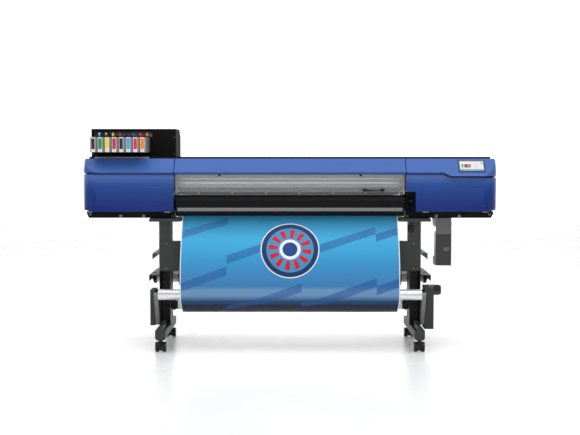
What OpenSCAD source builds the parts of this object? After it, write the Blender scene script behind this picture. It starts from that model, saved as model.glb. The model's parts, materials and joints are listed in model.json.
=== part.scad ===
// Wide-format roll-to-roll printer and cutter on a caster stand, with a loaded roll of media.
// Millimetres. +Z is up, the operator stands at -Y, and the origin is on the floor below the
// centre of the machine.

/* [Body] */
// Overall width across the blue end covers
body_w = 2930; // [2900:10:2960]
// Clear width between the two side housings
opening_w = 1636; // [1630:1:1642]
// How far in front of the centre plane the front covers stand
front_d = 215; // [210:1:220]
// How far behind the centre plane the rear cover stands
rear_d = 335; // [330:1:340]
// Sheet thickness of the moulded covers
cover_t = 4; // [3:0.5:5]

/* [Stand] */
// Overall depth, from the tips of the feet to the ends of the roll arms
stand_d = 754; // [750:2:760]
// Outside distance across the two legs
leg_span = 1854; // [1850:2:1860]
// Wheel diameter of the twin-wheel casters
caster_d = 62; // [58:1:62]

/* [Media] */
// Width of the media
media_w = 1524; // [1500:1:1524]
// Thickness of the media web
web_t = 0.8; // [0.6:0.1:0.8]
// Radius of the supply roll
supply_r = 85; // [60:1:85]
// Radius of the take-up roll
takeup_r = 49; // [40:1:49]

/* [Ink rack] */
// Number of ink trays
tray_count = 8; // [8:1:8]
// Distance between neighbouring trays
tray_pitch = 49.2; // [48:0.1:50]
// How far the trays stand out in front of the rack
tray_reach = 258; // [240:1:260]

/* [Hidden] */
$fn = 48;
eps = 0.5;               // overshoot of a cut beyond the face it opens
run = 0.05;              // radial clearance of a shaft in its bore
slip = 0.15;             // gap around a bolted beam or bracket

// Body
half_w = body_w / 2;
open_x = opening_w / 2;  // inner faces of the side housings
front_y = -front_d;
base_z = 919;            // underside of the body, on the leg plates
cover_low_z = 968;       // bottom edge of the blue front covers
seam_z = 1230;           // top edge of the front covers
lip_z = 1245;            // lower edge of the slanted top covers
top_z = 1341;            // upper edge of the slanted top covers
roof_z = 1354;
slant_top_y = front_y + 75;
slope = 75 / 96;         // how far the slanted face leans back for each mm of height
top_back_y = -66;        // where the top covers meet the roof
seam_gap = lip_z - seam_z;
panel_drop = 24;         // how much lower the seam runs below the touch panel
drop_from_x = 1064;
drop_to_x = 1134;
bulge_r = 750;           // curvature of the front covers, seen from the side
bulge_z = 1072;          // height at which they stand furthest forward
corner_r = 115;          // rounding of the outer front corners, seen from above
hinge_y = -185;
hinge_z = 1190;

// Stand
foot_front = -stand_d / 2;
foot_w = 72;
foot_back = 309;
foot_low_z = 90;
foot_top_z = 153;
leg_out_x = leg_span / 2;
leg_w = 79;
leg_front = -160;
leg_back = -6;
leg_top_z = 897;
sheet = 3;
foot_x = leg_out_x + 6 - foot_w;   // inner side of a foot
caster_x = 900;
caster_front_y = -335;
caster_rear_y = 262;
caster_trail = 18;
wheel_r = caster_d / 2;
axle_r = 4;

// Media path
platen_z = 1076;
web_gap = 0.3;
web_top = platen_z + web_gap + web_t;
grit_y = 85;
grit_r = 12;
grit_z = platen_z - grit_r;
pinch_r = 9;
pinch_z = web_top + pinch_r + web_gap;
pinch_bar_y = 127;
pinch_bar_z = 1114;
wheel_pitch = 200;
supply_c = [195, 600];
takeup_c = [-125, 300];
dancer_c = [-312, 396.5];
dancer_r = 37.5;
dancer_pivot = [-205, 182];
rear_arc_c = [238, 997.1];
rear_arc_r = 80;
front_arc_c = [-50, 1049.1];
front_arc_r = 28;
pipe_r = 33;
pipe_z = 473;
pipe_ys = [60, 330];

// Ink rack
rack_x0 = -1434;
rack_x1 = -824;
rack_y0 = 23;
rack_y1 = 344;
rack_z0 = roof_z;
rack_z1 = 1555;
tray_w = 33;
tray_z0 = 1385;
tray_z1 = 1491;
tray_first_x = -1374;    // centre of the leftmost tray
tray_back_y = 165;

// ---------- helpers ----------

// A block given by its two corners on each axis
module block(x, y, z) {
  translate([x[0], y[0], z[0]]) cube([x[1] - x[0], y[1] - y[0], z[1] - z[0]]);
}

// A cylinder along X at (y, z)
module rod(r, x, c, fn = 48) {
  translate([x[0], c[0], c[1]]) rotate([0, 90, 0]) cylinder(r = r, h = x[1] - x[0], $fn = fn);
}

// A (y, z) outline drawn out along X
module along_x(x) {
  translate([x[0], 0, 0]) rotate([90, 0, 90]) linear_extrude(x[1] - x[0]) children();
}

// An (x, z) outline drawn out along Y
module along_y(y) {
  translate([0, y[1], 0]) rotate([90, 0, 0]) linear_extrude(y[1] - y[0]) children();
}

// The same thing on the right and on the left
module pair() {
  children();
  mirror([1, 0, 0]) children();
}

function unit(v) = v / norm(v);
function left_of(v) = [-v[1], v[0]];
function corner_normal(p, i) =
  let (a = unit(p[max(i, 1)] - p[max(i, 1) - 1]),
       j = min(i, len(p) - 2),
       b = unit(p[j + 1] - p[j]),
       m = unit(left_of(a) + left_of(b)))
  m / (m * left_of(a));

// A closed outline of thickness t on the left side of a path
function strip(p, t) = concat(p, [for (i = [len(p) - 1 : -1 : 0]) p[i] + t * corner_normal(p, i)]);

function arc(c, r, a0, a1, n) =
  [for (i = [0 : n]) c + r * [cos(a0 + (a1 - a0) * i / n), sin(a0 + (a1 - a0) * i / n)]];

function smooth(t) = let (s = min(1, max(0, t))) s * s * (3 - 2 * s);

// ---------- stand ----------

module foot() {
  chamfer = 8;
  difference() {
    along_y([foot_front, foot_back]) polygon([
      [foot_x, foot_top_z], [foot_x, foot_low_z + chamfer], [foot_x + chamfer, foot_low_z],
      [foot_x + foot_w - chamfer, foot_low_z], [foot_x + foot_w, foot_low_z + chamfer],
      [foot_x + foot_w, foot_top_z]]);
    // open underneath, in front of, between and behind the two caster pads
    for (y = [[foot_front + sheet, caster_front_y - 32], [caster_front_y + 32, caster_rear_y - 32],
              [caster_rear_y + 32, foot_back - sheet]])
      block([foot_x + chamfer + 1, foot_x + foot_w - chamfer - 1], y,
        [foot_low_z - eps, foot_top_z - sheet]);
    // pocket above each pad
    for (y = [caster_front_y, caster_rear_y])
      block([foot_x + chamfer + 1, foot_x + foot_w - chamfer - 1], [y - 29, y + 29],
        [foot_low_z + 12, foot_top_z - sheet]);
  }
  // bracket of the dancer arm, with its pivot pin
  block([foot_x + 18, foot_x + 42], [foot_front, dancer_pivot[0] - 22], [foot_top_z, foot_top_z + 30]);
  block([foot_x + 18, foot_x + 42], [dancer_pivot[0] - 22, dancer_pivot[0] + 22],
    [foot_top_z, dancer_pivot[1] + 14]);
  rod(8, [foot_x + 42, foot_x + 88], dancer_pivot);
}

module feet() {
  color("dimgray") pair() foot();
}

module leg() {
  leg_in_x = leg_out_x - leg_w;
  difference() {
    union() {
      // channel, open to the front below the stay
      block([leg_in_x, leg_out_x], [leg_front, leg_back], [foot_top_z, leg_top_z]);
      // top plate
      block([772, 994], [-190, 20], [leg_top_z, base_z]);
      // base flange
      block([foot_x + 4, leg_out_x], [leg_front, 24], [foot_top_z, foot_top_z + 6]);
    }
    block([leg_in_x + sheet, leg_out_x - sheet], [leg_front + sheet, leg_back - sheet],
      [foot_top_z + 6, leg_top_z + sheet]);
    block([leg_in_x + sheet, leg_out_x - sheet], [leg_front - eps, leg_front + sheet + eps],
      [foot_top_z + 6, 545]);
    // underside of the top plate, open between its flanges, outside the leg
    block([772 + sheet, leg_in_x], [-190 + sheet, 20 - sheet], [leg_top_z - eps, base_z - sheet]);
    block([leg_out_x, 994 - sheet], [-190 + sheet, 20 - sheet], [leg_top_z - eps, base_z - sheet]);
    // bearing of the take-up spindle, and its way out
    rod(8 + run, [leg_in_x - 5, leg_in_x + 5], takeup_c);
    rod(11, [leg_out_x - 5, leg_out_x + 5], takeup_c);
  }
}

module legs() {
  color("dimgray") pair() leg();
}

module stay_panel() {
  inner_x = leg_out_x - leg_w;
  color("dimgray") {
    difference() {
      union() {
        block([-leg_out_x, leg_out_x], [leg_front - sheet, leg_front], [545, 758]);
        block([-inner_x, inner_x], [leg_front - eps, leg_front + 30], [545, 548]);
        block([-inner_x, inner_x], [leg_front - eps, leg_front + 30], [755, 758]);
      }
      for (side = [-1, 1], z = [562, 741])
        translate([side * 876, leg_front, z]) rotate([90, 0, 0]) cylinder(r = 3, h = 20, center = true);
    }
  }
}

// ---------- body ----------

module box_beam(x, y, z, wall) {
  difference() {
    block(x, y, z);
    block([x[0] - eps, x[1] + eps], [y[0] + wall, y[1] - wall], [z[0] + wall, z[1] - wall]);
  }
}

// Side plate in two pieces, with cut-outs that the beams run through
module side_plate() {
  difference() {
    along_x([826, 831]) polygon([[-88, base_z], [325, base_z], [325, 1062], [-88, 1062]]);
    block([820, 840], [-60 - slip, -20 + slip], [975 - slip, 1040 + slip]);
    block([820, 840], [120 - slip, 200 + slip], [975 - slip, 1040 + slip]);
  }
  difference() {
    along_x([826, 831]) polygon([[62, 1062 + slip], [325, 1062 + slip], [325, 1337], [62, 1337]]);
    block([820, 840], [61, 110 + slip], [1140 - slip, 1240 + slip]);
  }
}

// Bracket on top of the rear beam that carries an end of the rail and of the upper beam
module rail_post() {
  block([1385, 1425], [122, 150], [1040 + slip, 1240]);
  block([1385, 1425], [110 + slip, 123], [1144, 1236]);
}

// Arms in front of the upper beam, with the pins that the window hangs on
module window_arms() {
  for (x = win_hinges) {
    along_x([x - strap_w / 2, x + strap_w / 2]) polygon([[62 - slip, 1231], [62 - slip, 1240],
      [win_axis[0] - 5, 1240], [win_axis[0] - 5, win_axis[1] - 6],
      [win_axis[0] + 5, win_axis[1] - 6], [win_axis[0] + 5, 1231]]);
    rod(2.5, [x - 14, x + 14], win_axis);
  }
}

module chassis_frame() {
  color([0.09, 0.09, 0.1]) difference() {
    union() {
      pair() side_plate();
      box_beam([-1425, 1425], [-60, -20], [975, 1040], 2);
      box_beam([-1425, 1425], [120, 200], [975, 1040], 2);
      box_beam([-1425, 1425], [62 + slip, 110], [1140, 1240], 2);
      pair() {
        cover_hinge(open_x + 50, [open_x + 32, open_x + 51]);
        cover_hinge(half_w - 95, [half_w - 88, half_w - 69]);
        rail_post();
      }
      window_arms();
      // bearing blocks of the drive shaft
      pair() block([831, 846], [grit_y - 22, grit_y + 22], [1036, 1060]);
      pair() block([831 + slip, 846], [grit_y - 22, grit_y + 22], [1059, 1084]);
      // hidden lever bracket
      block([831, 846], [-86, -60 - slip], [994, 1016]);
    }
    rod(8 + run, [-860, 860], [grit_y, grit_z]);
    rod(6 + run, [800, 860], [-70, 1010]);
    // the upper plate is notched for the drive shaft
    pair() block([820, 830.9], [grit_y - 10, grit_y + 10], [1054, 1075]);
  }
  // recess around the loading lever, behind the notch of the right cover
  color([0.06, 0.06, 0.07]) difference() {
    block([831 + slip, 890], [-100, -96], [cover_low_z, 1112]);
    block([844, 862], [-101, -95], [972, 1062]);
  }
}

module base_tray() {
  difference() {
    along_y([-110, 330]) polygon([[832, base_z], [1432, base_z], [1447, 946], [1447, 966],
      [832, 966]]);
    along_y([-108, 328]) polygon([[834, base_z + 2], [1431, base_z + 2], [1445, 946.5],
      [1445, 970], [834, 970]]);
  }
  // levelling knobs under the tray
  for (x = [1041, 1204]) translate([x, -98, 920]) cylinder(r = 9, h = 22);
}

module base_trays() {
  color([0.05, 0.05, 0.06]) pair() base_tray();
}

module end_panel() {
  difference() {
    along_x([1440, 1455]) polygon([[-86, 970], [rear_d - 3, 970], [rear_d - 3, 1338],
      [-62, 1338], [-62, 1234], [-86, 1234]]);
    along_x([1430, 1452]) polygon([[-82, 974], [rear_d - 7, 974], [rear_d - 7, 1334],
      [-58, 1334], [-58, 1230], [-82, 1230]]);
    for (i = [0 : 9])
      block([1450, 1460], [110, 280], [1010 + i * 14, 1016 + i * 14]);
  }
}

module end_panels() {
  color([0.12, 0.12, 0.13]) pair() end_panel();
}

module rear_cover() {
  color([0.08, 0.08, 0.09]) {
    difference() {
      along_y([rear_d - 2, rear_d]) polygon([[-1438, 968], [-832, 968], [-832, 1100],
        [832, 1100], [832, 968], [1438, 968], [1438, top_z], [-1438, top_z]]);
      for (side = [-1, 1], i = [0 : 7])
        block([side * 1130 - 110, side * 1130 + 110], [rear_d - 10, rear_d + 5],
          [1210 + i * 12, 1215 + i * 12]);
      block([1299, 1325], [rear_d - 10, rear_d + 5], [1046, 1074]);
    }
    // power inlet
    difference() {
      block([1230, 1282], [rear_d, rear_d + 8], [1042, 1078]);
      block([1241, 1271], [rear_d + 2, rear_d + 10], [1050, 1070]);
    }
  }
}

module power_switch() {
  color([0.02, 0.02, 0.02]) {
    along_x([1302, 1322]) polygon([[rear_d - 8, 1051], [rear_d + 3, 1050], [rear_d + 1, 1060],
      [rear_d + 5, 1070], [rear_d - 8, 1069]]);
    rod(1.5, [1300, 1324], [rear_d, 1060], 24);
  }
}

module roof_cover() {
  color([0.1, 0.1, 0.11]) difference() {
    block([-1434, 1430], [top_back_y, rear_d - sheet], [top_z - 3, roof_z]);
    block([-1430, 1426], [top_back_y + 4, rear_d - sheet - 4], [top_z - 10, roof_z - 3]);
    // joint line beside the ink rack
    block([rack_x1 + 4, rack_x1 + 8], [top_back_y - 5, rear_d], [roof_z - 1, roof_z + 5]);
  }
}

// Plan outline of a right-hand cover, from the inner face x to the rounded outer corner
module plan(x, r, t, back) {
  cx = half_w - r;
  intersection() {
    union() {
      block([x + t, cx], [-100 - r + t, back], [900, 1400]);
      if (back > -100) block([cx - 1, half_w - t], [-100, back], [900, 1400]);
      translate([cx, -100, 900]) cylinder(r = r - t, h = 500, $fn = 96);
    }
    block([x - 10, half_w + 10], [-300, back], [900, 1400]);
  }
}

// Slanted top cover of a side housing: a shell open below and behind
module slant_body(x, r, low_z, t) {
  e = t > 0 ? eps : 0;
  low_y = slant_top_y - (top_z - low_z) * slope;
  lean = t * sqrt(1 + slope * slope);
  intersection() {
    plan(x, r, t, top_back_y + e);
    along_x([x - 5, half_w + 5]) polygon([[low_y + lean - e * slope, low_z - e],
      [slant_top_y + lean - t * slope, top_z - t], [top_back_y + 5, top_z - t],
      [top_back_y + 5, low_z - e]]);
    along_y([-300, 0]) polygon([[x + t, low_z - 1], [half_w - 3 - t, low_z - 1],
      [half_w - 19 - t, top_z + 1], [x + t, top_z + 1]]);
  }
}

module left_top_cover() {
  color([0.16, 0.27, 0.62]) mirror([1, 0, 0]) {
    difference() {
      slant_body(open_x, corner_r, lip_z, 0);
      slant_body(open_x, corner_r, lip_z, cover_t);
    }
    shadow_strip([open_x, half_w - 80], lip_z);
  }
}

// Strip that closes the seam behind the lip of a top cover
module shadow_strip(x, z) {
  block(x, [-201, -196], [z - 8, z + 9]);
  block(x, [-207 - (lip_z - z) * slope, -196], [z + 5, z + 9]);
}

// The seam below the touch panel runs down in an S
function seam_drop(x) = panel_drop * smooth((x - drop_from_x) / (drop_to_x - drop_from_x));

module right_top_cover() {
  low_z = lip_z - panel_drop;
  color([0.16, 0.27, 0.62]) {
    difference() {
      slant_body(open_x, corner_r + 23, low_z - 4, 0);
      slant_body(open_x, corner_r + 23, low_z - 4, cover_t);
      along_y([-300, 0]) polygon(concat([[open_x - 5, low_z - 20], [open_x - 5, lip_z]],
        [for (i = [0 : 14]) let (x = drop_from_x + 5 * i) [x, lip_z - seam_drop(x)]],
        [[half_w + 5, low_z], [half_w + 5, low_z - 20]]));
      // pocket of the touch panel
      on_slant() block([1181, 1373], [1, 109], [-3, 20]);
    }
    shadow_strip([open_x, drop_from_x - 10], lip_z);
    shadow_strip([drop_to_x + 10, half_w - 80], lip_z - panel_drop + 5);
  }
}

module center_top_cover() {
  x = open_x - 5;
  color([0.16, 0.27, 0.62]) along_x([-x, x]) polygon(strip([[-192, 1231], [-198, 1231],
    [-198, 1244], [front_y, lip_z], [slant_top_y, top_z], [top_back_y, top_z]], -cover_t));
}

// Frame of reference on the slanted face: x along the machine, y up the slope, z outwards
module on_slant() {
  translate([0, front_y, lip_z]) rotate([atan2(1, slope), 0, 0]) children();
}

module touch_panel() {
  color([0.03, 0.03, 0.03]) on_slant() difference() {
    block([1184, 1370], [4, 106], [-2.5, 4]);
    block([1194, 1360], [12, 98], [2.5, 6]);
  }
}

// Outline of a front cover seen from the front, mirrored for the left one
module front_outline(drop, notch, t) {
  step = drop ? 14 : 1;
  xs = [for (i = [0 : step]) drop_from_x + (drop_to_x - drop_from_x) * i / step];
  difference() {
    polygon(concat(
      [[open_x + t, cover_low_z + t], [open_x + t, seam_z + (t > 0 ? 5 : 0)]],
      [for (x = xs) [x, seam_z + (t > 0 ? 5 : 0) - (drop ? seam_drop(x) : 0)]],
      [[half_w - 4 - t, seam_z + (t > 0 ? 5 : 0) - (drop ? panel_drop : 0)], [half_w - t, 1190],
       [half_w - t, 1010], [half_w - 6 - t, cover_low_z + t]]));
    if (notch) translate([open_x - 5, cover_low_z - 5]) square([65 + 5 + t, 140 + 5 + t]);
  }
}

// Side view of the front covers, drawn out along the machine
module bulge(t) {
  step = 12;
  along_x([open_x - 5, half_w + 5]) polygon(concat([[-50, cover_low_z - step]],
    [for (z = [cover_low_z - step : step : lip_z])
      [front_y + bulge_r - sqrt(pow(bulge_r - t, 2) - pow(z - bulge_z, 2)), z]],
    [[-50, lip_z]]));
}

module front_body(drop, notch, t) {
  intersection() {
    plan(open_x, corner_r, t, -100 + (t > 0 ? eps : 0));
    bulge(t);
    along_y([-300, 0]) front_outline(drop, notch, t);
  }
}

module front_cover(drop, notch) {
  difference() {
    front_body(drop, notch, 0);
    front_body(drop, notch, cover_t);
    // the bottom return is short, so that the cover swings clear of the base tray
    block([open_x + cover_t, half_w + 5], [-192, -90], [cover_low_z - 5, cover_low_z + 10]);
  }
  // hinge tabs, bored for the pins
  for (x = [open_x + 30, half_w - 85]) difference() {
    block([x, x + 18], [front_y + 11.5, hinge_y + 8], [hinge_z - 8, hinge_z + 8]);
    rod(3 + run, [x - 1, x + 19], [hinge_y, hinge_z]);
  }
}

// Bracket that carries a front cover's hinge pin, which points towards the cover's tab
module cover_hinge(x, pin) {
  along_x([x, x + 8]) polygon([[-72, 976], [-60 - slip, 976], [-60 - slip, 1198],
    [hinge_y - 4, 1198], [hinge_y - 8, 1194], [hinge_y - 8, 1186], [hinge_y - 4, 1182],
    [-72, 1182]]);
  rod(3, pin, [hinge_y, hinge_z]);
}

module left_front_cover() {
  color([0.1, 0.18, 0.45]) mirror([1, 0, 0]) front_cover(false, false);
}

module right_front_cover() {
  color([0.1, 0.18, 0.45]) front_cover(true, true);
}

// ---------- window ----------

win_x = open_x - 6;
win_z = [1087, 1228];
win_y = [-141, -129];

// Where the window's hinges sit, and how wide a hinge strap is
win_hinges = [-500, 500];
strap_w = 12;
win_axis = [-135, 1222];

module window_frame() {
  color("silver") difference() {
    block([-win_x, win_x], win_y, win_z);
    block([-win_x + 18, win_x - 18], [win_y[0] - eps, win_y[1] + eps], [win_z[0] + 18, win_z[1] - 22]);
    // rebate for the pane
    block([-win_x + 12, win_x - 12], [-134, win_y[1] + eps], [win_z[0] + 12, win_z[1] - 16]);
    for (x = win_hinges) {
      block([x - 8, x + 8], [win_y[0] - eps, win_y[1] + eps], [1214, win_z[1] + eps]);
      rod(2.5 + run, [x - 15, x + 15], win_axis);
    }
  }
}

module window_pane() {
  color([0.8, 0.85, 0.88, 0.3]) block([-win_x + 12.2, win_x - 12.2], [-134, -130],
    [win_z[0] + 12.2, win_z[1] - 16.2]);
}

module window_handle() {
  color([0.03, 0.03, 0.03]) {
    for (x = [517, 643]) block([x, x + 24], [-158, -134], [1110, 1128]);
    block([519, 665], [-166, -158], [1110, 1119]);
    for (x = [517, 643]) block([x, x + 24], [-166, -158], [1110, 1128]);
  }
}

// ---------- media path ----------

module platen() {
  color([0.2, 0.2, 0.21]) difference() {
    union() {
      block([-800, 800], [-49, 150], [1066, platen_z]);
      // slanted heater guide under the front of the platen
      along_x([-796, 796]) polygon(strip([[-46, 1073], [-58, 1066], [-72, 1052], [-146, 924]], 4));
    }
    // notch over the drive shaft
    rod(8 + run + slip, [-805, 805], [grit_y, grit_z]);
    block([-790, 790], [grit_y - 14, grit_y + 14], [1060, 1080]);
    for (i = [-9 : 9]) translate([i * 80, -10, 1060]) cylinder(r = 2.5, h = 20);
  }
}

module rear_guide() {
  r = rear_arc_r - web_t - web_gap;
  color([0.15, 0.15, 0.16]) along_x([-800, 800])
    polygon(strip(concat([[309, 940]], arc(rear_arc_c, r, -6, 90, 16),
      [[151, rear_arc_c[1] + r]]), 3));
}

module front_apron() {
  skin = concat([[-130, 1082]], arc([-165, 1032], 50, 90, 180, 12),
    arc([-165, 985], 50, 180, 250, 9));
  color([0.07, 0.07, 0.08]) {
    along_x([-797, 797]) polygon(strip(skin, 3));
    // end caps, which carry the apron
    pair() along_x([797, 801]) polygon(concat([[-96, 1084]], [[-130, 1084]],
      arc([-165, 1032], 52, 90, 180, 12), arc([-165, 985], 52, 180, 250, 9), [[-160, 930],
      [-96, 1000]]));
    pair() block([801, 826], [-88, -84], [1000, 1050]);
  }
}

module apron_strip() {
  color("gray") along_x([-790, 790]) polygon([[front_y, 972], [front_y, 997], [front_y - 3, 996],
    [front_y - 4, 994], [front_y - 4, 975], [front_y - 3, 973]]);
}

// Outer face of the media from the supply roll to the take-up roll
web_route = concat(
  [[281.6, 590], [300, 790]],
  arc(rear_arc_c, rear_arc_r, -6, 90, 16),
  arc(front_arc_c, front_arc_r, 90, 150, 8),
  [[-113, 996], [-152, 928], [-196, 873], [-240, 812], [-284, 741], [-318, 667], [-339, 592],
   [-349, 520], [-351.2, 455], [-351.4, 398], [-349.5, 374], [-338, 351], [-312, 331], [-270, 301],
   [-220, 273], [-180, 257], [-152, 250.5], [-125, 249.7]]);

module media_web() {
  color([0.2, 0.55, 0.82]) along_x([-media_w / 2, media_w / 2]) polygon(strip(web_route, web_t));
}

module grit_roller() {
  color("gray") {
    rod(8, [-846, 846], [grit_y, grit_z]);
    for (i = [-4 : 3])
      rod(grit_r, [wheel_pitch * (i + 0.5) - 30, wheel_pitch * (i + 0.5) + 30], [grit_y, grit_z]);
  }
}

module pinch_arm(x) {
  difference() {
    along_x([x, x + 10]) polygon([[grit_y - 6, pinch_z - 6], [grit_y + 8, pinch_z - 6],
      [pinch_bar_y + 6, pinch_bar_z - 8], [pinch_bar_y + 8, pinch_bar_z + 8],
      [pinch_bar_y - 8, pinch_bar_z + 8], [grit_y - 6, pinch_z + 6]]);
    rod(3 + run, [x - 1, x + 11], [grit_y, pinch_z]);
  }
}

module pinch_arms() {
  color([0.15, 0.15, 0.15]) {
    rod(5, [-826, 826], [pinch_bar_y, pinch_bar_z]);
    for (i = [-4 : 3]) pinch_arm(wheel_pitch * (i + 0.5) + 12);
  }
}

module pinch_wheels() {
  color([0.3, 0.3, 0.3]) {
    rod(3, [-730, 730], [grit_y, pinch_z]);
    for (i = [-4 : 3])
      rod(pinch_r, [wheel_pitch * (i + 0.5) - 11, wheel_pitch * (i + 0.5) + 11], [grit_y, pinch_z]);
  }
}

module loading_lever() {
  color([0.04, 0.04, 0.04]) {
    rod(6, [831, 860], [-70, 1010]);
    rod(9, [847, 859], [-70, 1010]);
    along_x([849, 857]) polygon([[-66, 1000], [-70, 1020], [-148, 1044], [-152, 1034]]);
    along_x([840, 866]) polygon([[-146, 1030], [-146, 1050], [-158, 1052], [-158, 1034]]);
  }
}

module guide_rail() {
  color("lightgray") difference() {
    along_x([-1400, 1400]) polygon([[62, 1112], [62, 1212], [22, 1212], [22, 1196], [27, 1193],
      [27, 1190], [22, 1187], [22, 1170], [26, 1164], [26, 1158], [22, 1152], [22, 1138],
      [27, 1135], [27, 1131], [22, 1128], [22, 1112]]);
    block([-1401, 1401], [34, 58], [1118, 1206]);
  }
}

module carriage() {
  color([0.12, 0.12, 0.13]) difference() {
    union() {
      block([1010, 1190], [-50, 19], [1096, 1208]);
      block([1020, 1180], [-46, 15], [1083, 1097]);
      block([1030, 1170], [0, 60], [1213, 1226]);
      block([1030, 1170], [0, 19], [1207, 1226]);
      block([982, 1011], [-34, 4], [1128, 1166]);
    }
    translate([997, -15, 1100]) cylinder(r = 9 + run, h = 100);
  }
}

module blade_holder() {
  color("silver") {
    translate([997, -15, 1094]) cylinder(r = 9, h = 92);
    translate([997, -15, 1171]) cylinder(r = 13, h = 12);
    translate([997, -15, 1090]) cylinder(r = 5, h = 5);
  }
}

// ---------- roll supports at the back ----------

module roll_arm(x_out, z, h, plan_points) {
  difference() {
    intersection() {
      linear_extrude(2000) polygon(plan_points);
      block([leg_out_x, x_out], [-100, stand_d / 2], [z - h, z]);
    }
    block([leg_out_x + sheet, x_out - sheet], [-101, stand_d / 2 + 1], [z - h - 1, z - sheet]);
  }
}

module roll_arms() {
  color("dimgray") pair() {
    roll_arm(984, 664, 40, [[leg_out_x, -70], [950, -100], [984, -100], [984, stand_d / 2],
      [leg_out_x, stand_d / 2]]);
    block([leg_out_x, 984], [stand_d / 2 - 6, stand_d / 2], [664, 694]);
    difference() {
      roll_arm(1009, 509, 43, [[leg_out_x, -60], [963, -100], [1009, -100], [1009, stand_d / 2],
        [leg_out_x, stand_d / 2]]);
      for (y = pipe_ys) rod(pipe_r + 1, [leg_out_x - 1, 1000], [y, pipe_z]);
    }
  }
}

module roll_pipes() {
  color("silver") for (y = pipe_ys) difference() {
    rod(pipe_r, [-998, 998], [y, pipe_z]);
    rod(pipe_r - 3, [-999, 999], [y, pipe_z]);
  }
}

module roll_holder() {
  x = [800, 812];
  color([0.06, 0.06, 0.06]) difference() {
    union() {
      for (y = pipe_ys) rod(44, x, [y, pipe_z]);
      along_x(x) polygon([[30, 500], [80, 435], [310, 435], [362, 500], [225, 625], [165, 625]]);
      rod(32, x, supply_c);
      for (y = pipe_ys) block([x[0], x[1]], [y - 10, y + 10], [pipe_z - 56, pipe_z - 30]);
    }
    for (y = pipe_ys) rod(pipe_r + run, [790, 820], [y, pipe_z]);
    rod(10 + run, [790, 820], supply_c);
    along_x([790, 820]) polygon([[150, 470], [240, 470], [195, 540]]);
  }
}

module roll_holders() {
  pair() roll_holder();
}

module supply_flanges() {
  color([0.05, 0.05, 0.05]) pair() {
    rod(10, [780, 818], supply_c);
    rod(62, [783, 793], supply_c, 64);
    rod(37.5, [735, 784], supply_c);
    rod(14, [812.3, 820], supply_c);
  }
}

module roll(w_core, r_in, r_core, r_out, c) {
  difference() {
    union() {
      rod(r_core, [-w_core, w_core], c, 64);
      rod(r_out, [-media_w / 2, media_w / 2], c, 96);
    }
    rod(r_in, [-w_core - 1, w_core + 1], c, 64);
  }
}

module supply_roll() {
  color("whitesmoke") roll(783, 38, 44, supply_r, supply_c);
}

// ---------- take-up ----------

module dancer_arm() {
  arm = [[dancer_pivot[0] - 15, dancer_pivot[1] - 4], [dancer_pivot[0] + 6, dancer_pivot[1] - 15],
    [dancer_pivot[0] + 16, dancer_pivot[1] + 4], [dancer_c[0] + 15, dancer_c[1] + 6],
    [dancer_c[0] - 4, dancer_c[1] + 15], [dancer_c[0] - 16, dancer_c[1] - 4]];
  x = [918, 946];
  difference() {
    union() {
      along_x(x) polygon(arm);
      rod(8, [905, 919], dancer_c);
    }
    rod(8 + run, [x[0] - 1, x[1] + 1], dancer_pivot);
  }
}

module dancer_arms() {
  color("gray") pair() dancer_arm();
}

module dancer_pipe() {
  color("lightgray") difference() {
    rod(dancer_r, [-915, 915], dancer_c, 64);
    rod(dancer_r - 2.5, [-907, 907], dancer_c, 64);
    rod(8 + run, [-916, 916], dancer_c);
  }
}

module takeup_flanges() {
  color([0.05, 0.05, 0.05]) {
    pair() {
      rod(27.5, [760, 800], takeup_c);
      rod(31, [799, 845], takeup_c);
      rod(36, [814, 836], takeup_c);
    }
    rod(8, [845, 968], takeup_c);
    rod(20, [958, 968], takeup_c);
    rod(8, [-882, -845], takeup_c);
    rod(14, [-886, -880], takeup_c);
  }
}

module takeup_roll() {
  color("whitesmoke") roll(798, 28, 31.5, takeup_r, takeup_c);
}

module takeup_housings() {
  color("dimgray") {
    // drive box on the right
    difference() {
      along_x([952, 1017]) polygon([[-200, 136], [-60, 136], [-60, 436], [-200, 436]]);
      along_x([955, 1014]) polygon([[-197, 139], [-50, 139], [-50, 433], [-197, 433]]);
      rod(12, [950, 957], takeup_c);
    }
    // plain end bracket on the left
    difference() {
      block([-989, -952], [-200, -60], [162, 414]);
      block([-986, -955], [-197, -50], [165, 411]);
    }
    // brackets to the legs
    pair() block([leg_out_x, 953], [-100, -62], [190, 400]);
  }
}

module takeup_motor() {
  c = [-22, 393];
  color([0.04, 0.04, 0.04]) {
    rod(38, [978, 1076], c, 64);
    rod(34, [1076, 1089], c, 64);
    rod(10, [960, 979], c);
    block([966, 978], [-60, 10], [360, 426]);
  }
}

// ---------- waste ink ----------

module drain_holder() {
  x = [1038, 1149];
  color("gray") {
    // upper bracket, below the right housing
    difference() {
      along_x(x) polygon([[-122, 856], [20, 856], [85, 900], [85, base_z], [-122, base_z]]);
      along_x([x[0] + 3, x[1] - 3]) polygon([[-119, 850], [18, 850], [82, 902], [82, base_z - 3],
        [-119, base_z - 3]]);
    }
    // front plate and tray
    difference() {
      union() {
        block([x[0], x[1]], [-122, -119], [580, 856]);
        block([x[0], x[1]], [-120, 17], [580, 638]);
      }
      block([x[0] + 3, x[1] - 3], [-119, 14], [584, 640]);
    }
    // back strap that carries the tray
    block([1060, 1127], [14, 17], [637, 857]);
  }
}

module drain_bottle() {
  color([0.85, 0.86, 0.84]) {
    block([1043, 1144], [-112, -8], [584.5, 815]);
    translate([1094, -60, 814]) cylinder(r = 22, h = 16);
    translate([1094, -60, 829]) cylinder(r = 26, h = 22);
    translate([1094, -60, 850]) cylinder(r = 6, h = 64);
  }
}

// ---------- ink ----------

function tray_x(i) = tray_first_x + tray_pitch * i;

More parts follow.
